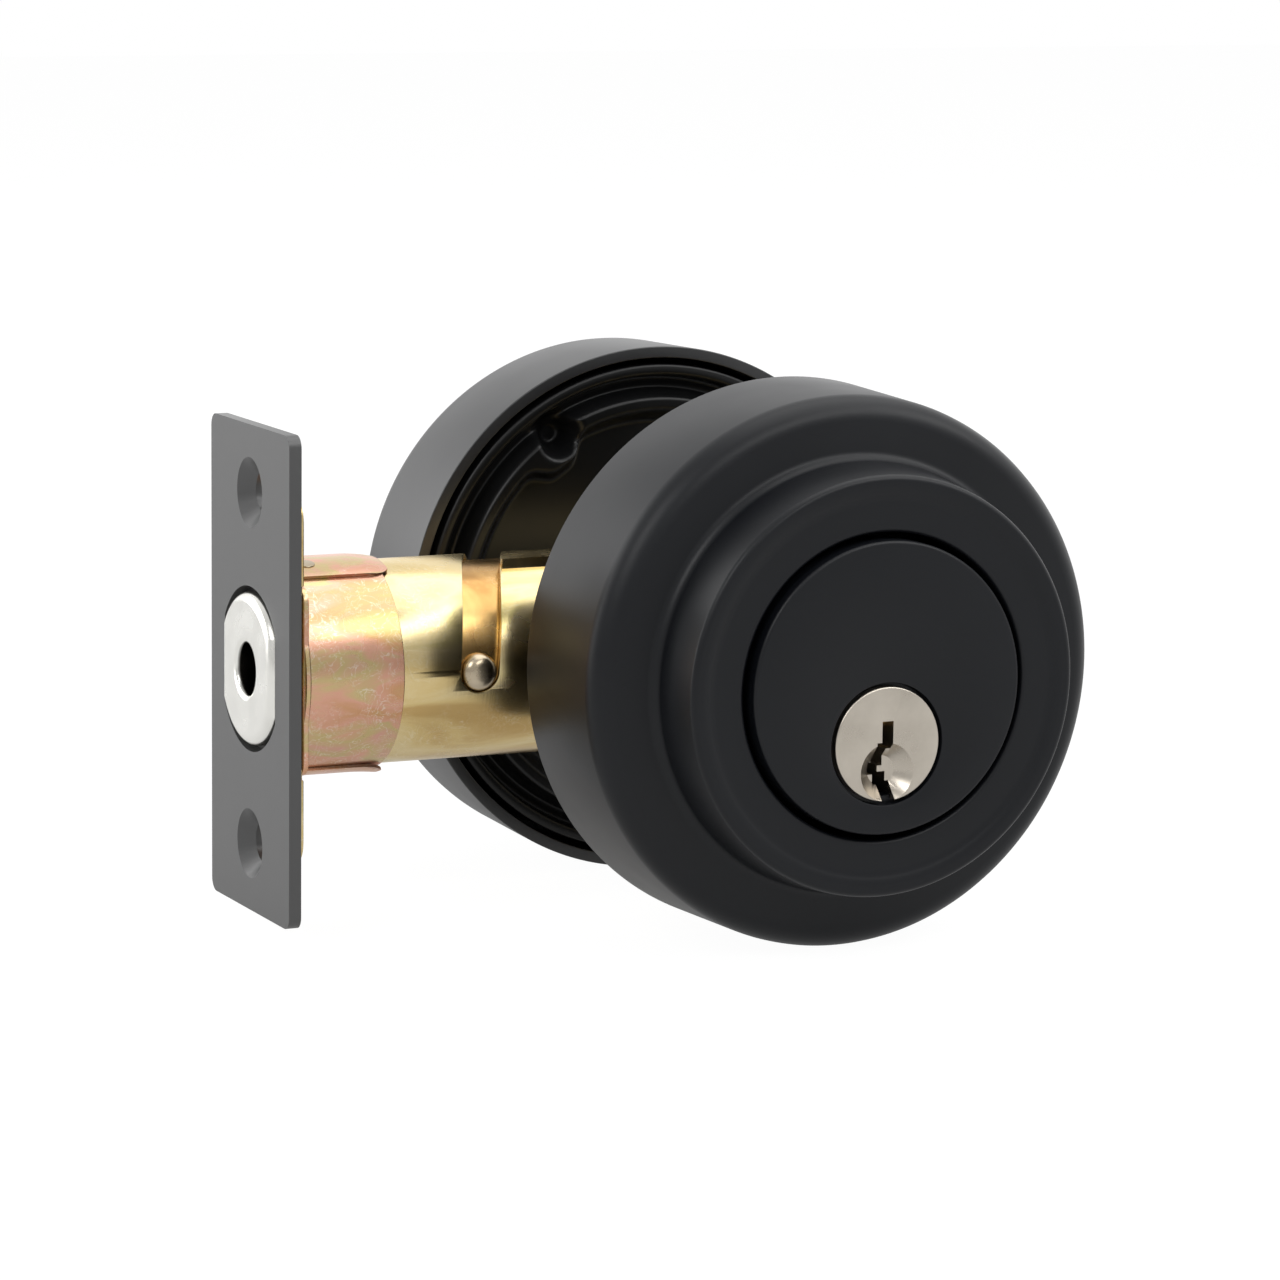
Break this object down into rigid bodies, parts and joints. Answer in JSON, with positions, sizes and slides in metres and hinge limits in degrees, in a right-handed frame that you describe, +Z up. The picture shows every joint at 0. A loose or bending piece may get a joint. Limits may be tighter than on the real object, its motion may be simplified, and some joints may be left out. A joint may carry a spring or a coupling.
{
  "type": "deadbolt door lock",
  "caption": "Deadbolt with a keyed outer cylinder, an inner turn piece and a tubular latch that throws a square-ended bolt from a door's edge.",
  "frame": {"origin": "on the bolt's axis, half way through the door's thickness, in the plane of the roses' axis, which is the middle of the door's cross bore", "axes": "-X the way the bolt throws, -Y the outside of the door, +Y the inside, +Z up"},
  "size_m": [0.0932, 0.1067, 0.0652],
  "materials": {
    "black_enamel": "satin black",
    "satin_nickel": "satin",
    "nickel_bolt": "satin",
    "nickel_stud": "satin",
    "gold_zinc": "yellow chromate over zinc",
    "pink_zinc": "iridescent chromate over zinc",
    "zinc_plate": "bright zinc",
    "cast_zinc": "as cast",
    "brass": "machined",
    "steel": "hardened",
    "spring_steel": "drawn",
    "nylon": "moulded"
  },
  "bodies": {
    "lock_case": {"exterior_rose": "black_enamel", "rose_support_ring": "zinc_plate", "cylinder_housing": "black_enamel", "pin_cover_strip": "brass", "pin_springs": "spring_steel", "faceplate": "black_enamel", "backing_plate": "gold_zinc", "latch_collar": "pink_zinc", "latch_front_sleeve": "gold_zinc", "latch_rear_tube": "gold_zinc", "slot_stud": "nickel_stud", "bolt_guide": "nylon", "interior_mounting_plate": "black_enamel", "interior_rose": "black_enamel", "rose_set_screw": "steel", "through_bolts": "zinc_plate"},
    "cylinder": {"cylinder_plug": "satin_nickel", "plug_retainer": "zinc_plate", "tailpiece": "zinc_plate", "tailpiece_pin": "steel"},
    "bottom_pins": {"bottom_pins": "brass"},
    "driver_pins": {"driver_pins": "brass"},
    "bolt": {"bolt": "nickel_bolt", "bolt_tail": "gold_zinc", "tail_rivets": "steel"},
    "saw_guard": {"saw_guard_pin": "steel"},
    "crank": {"crank": "cast_zinc", "crank_pin": "steel"},
    "turn_piece": {"thumbturn": "black_enamel", "thumbturn_clip": "spring_steel", "spring_washer": "spring_steel"}
  },
  "joints": [
    {"name": "thumbturn", "type": "hinge", "parent": "lock_case", "child": "turn_piece", "pos_m": [0, 0.0404, -0.0052], "axis": [0, -1, 0], "range_deg": [0, 90]},
    {"name": "plug_turn", "type": "hinge", "parent": "lock_case", "child": "cylinder", "pos_m": [0, -0.045, -0.0052], "axis": [0, -1, 0], "range_deg": [0, 90]},
    {"name": "crank_turn", "type": "hinge", "parent": "lock_case", "child": "crank", "pos_m": [0, 0, -0.0052], "axis": [0, -1, 0], "range_deg": [0, 90]},
    {"name": "bolt_throw", "type": "slide", "parent": "lock_case", "child": "bolt", "axis": [-1, 0, 0], "range_m": [0, 0.0254]},
    {"name": "saw_guard_spin", "type": "hinge", "parent": "bolt", "child": "saw_guard", "pos_m": [-0.045, 0, 0], "axis": [1, 0, 0], "continuous": true},
    {"name": "bottom_pin_drop", "type": "slide", "parent": "cylinder", "child": "bottom_pins", "axis": [0, 0, -1], "range_m": [0, 0.0016]},
    {"name": "driver_pin_lift", "type": "slide", "parent": "lock_case", "child": "driver_pins", "axis": [0, 0, 1], "range_m": [0, 0.002], "stiffness_N_per_m": 200, "springref_m": -0.003, "deforming": ["pin_springs"]}
  ],
  "couplings": [
    {"joint": "plug_turn", "follows": "thumbturn", "ratio": 1},
    {"joint": "crank_turn", "follows": "thumbturn", "ratio": 1},
    {"joint": "bolt_throw", "follows": "thumbturn", "m_per_rad": 0.01617}
  ]
}
